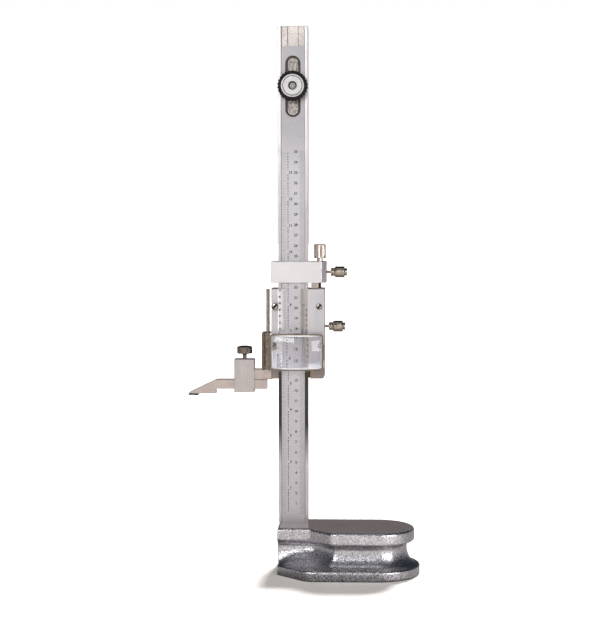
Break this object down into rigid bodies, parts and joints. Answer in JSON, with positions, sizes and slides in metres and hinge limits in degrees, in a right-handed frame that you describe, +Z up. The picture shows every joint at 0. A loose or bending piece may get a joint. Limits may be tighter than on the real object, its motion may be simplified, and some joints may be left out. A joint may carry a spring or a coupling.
{
  "type": "vernier height gauge",
  "caption": "Vernier height gauge with a cast base, flat column, adjustable main scale, fine-adjust carrier, magnifier and clamped scriber.",
  "frame": {"origin": "on the sole, under the centre of the column", "axes": "+Z up the column, +X to the right along the base as read from the front, -Y towards the reader"},
  "size_m": [0.2246, 0.0806, 0.523],
  "materials": {
    "hammered_enamel": "hammered enamel on cast iron",
    "column_steel": "ground, with a dull channel",
    "satin_chrome": "satin chrome plate",
    "black_knob": "moulded, semi-matt",
    "turned_aluminium": "turned",
    "black_oxide": "blackened",
    "gib_brass": "plain",
    "nickel": "nickel plate",
    "slider_steel": "ground, plain",
    "ground_steel": "ground",
    "carbide": "ground hard metal",
    "lens_glass": "clear, polished"
  },
  "bodies": {
    "base": {"base_casting": "hammered_enamel", "column": "column_steel", "column_screws": "black_oxide", "scale_clamp_washer": "black_oxide"},
    "scale": {"main_scale": "satin_chrome"},
    "scale_clamp": {"scale_clamp_knob": "black_knob", "scale_clamp_cap": "turned_aluminium", "scale_clamp_stud": "turned_aluminium"},
    "carrier": {"carrier_block": "satin_chrome", "carrier_gib": "gib_brass"},
    "carrier_lock": {"carrier_lock_screw": "nickel"},
    "fine_adjuster": {"fine_screw": "nickel", "fine_screw_ring": "black_oxide"},
    "slider": {"slider_body": "slider_steel", "slider_gib": "gib_brass", "gib_set_screws": "black_oxide", "guide_tongue": "nickel", "vernier_plate_inch": "satin_chrome", "vernier_plate_metric": "satin_chrome", "left_plate_screws": "nickel", "right_plate_screws": "nickel", "magnifier_rod": "nickel"},
    "slider_lock": {"slider_lock_screw": "nickel"},
    "magnifier": {"magnifier_bracket": "nickel", "magnifier_frame": "nickel", "magnifier_lens": "lens_glass", "magnifier_spring": "nickel"},
    "scriber_clamp": {"scriber_clamp_box": "satin_chrome"},
    "scriber_clamp_turner": {"scriber_clamp_screw": "black_oxide"},
    "scriber": {"scriber_bar": "ground_steel", "scriber_tip": "carbide"}
  },
  "joints": [
    {"name": "carrier_slide", "type": "slide", "parent": "base", "child": "carrier", "axis": [0, 0, 1], "range_m": [-0.137, 0.15]},
    {"name": "slider_slide", "type": "slide", "parent": "carrier", "child": "slider", "axis": [0, 0, 1], "range_m": [-0.003, 0.003]},
    {"name": "fine_screw_turn", "type": "hinge", "parent": "carrier", "child": "fine_adjuster", "pos_m": [0.0254, 0.0055, 0.2985], "axis": [0, 0, 1], "range_deg": [-2160, 2160]},
    {"name": "carrier_lock_turn", "type": "hinge", "parent": "carrier", "child": "carrier_lock", "pos_m": [0.0318, 0, 0.2883], "axis": [1, 0, 0], "range_deg": [0, 540]},
    {"name": "slider_lock_turn", "type": "hinge", "parent": "slider", "child": "slider_lock", "pos_m": [0.03015, 0, 0.2358], "axis": [1, 0, 0], "range_deg": [0, 540]},
    {"name": "scale_slide", "type": "slide", "parent": "base", "child": "scale", "axis": [0, 0, 1], "range_m": [-0.018, 0.018]},
    {"name": "clamp_knob_turn", "type": "hinge", "parent": "base", "child": "scale_clamp", "pos_m": [0, -0.007, 0.4658], "axis": [0, -1, 0], "range_deg": [0, 720]},
    {"name": "magnifier_slide", "type": "slide", "parent": "slider", "child": "magnifier", "axis": [0, 0, 1], "range_m": [0, 0.038]},
    {"name": "scriber_slide", "type": "slide", "parent": "slider", "child": "scriber", "axis": [1, 0, 0], "range_m": [-0.018, 0.01]},
    {"name": "scriber_clamp_slide", "type": "slide", "parent": "slider", "child": "scriber_clamp", "axis": [1, 0, 0], "range_m": [-0.004, 0.007]},
    {"name": "scriber_clamp_turn", "type": "hinge", "parent": "scriber_clamp", "child": "scriber_clamp_turner", "pos_m": [-0.04755, 0, 0.2042], "axis": [0, 0, 1], "range_deg": [0, 720]}
  ],
  "couplings": [
    {"joint": "fine_screw_turn", "follows": "slider_slide", "rad_per_m": -12566}
  ]
}
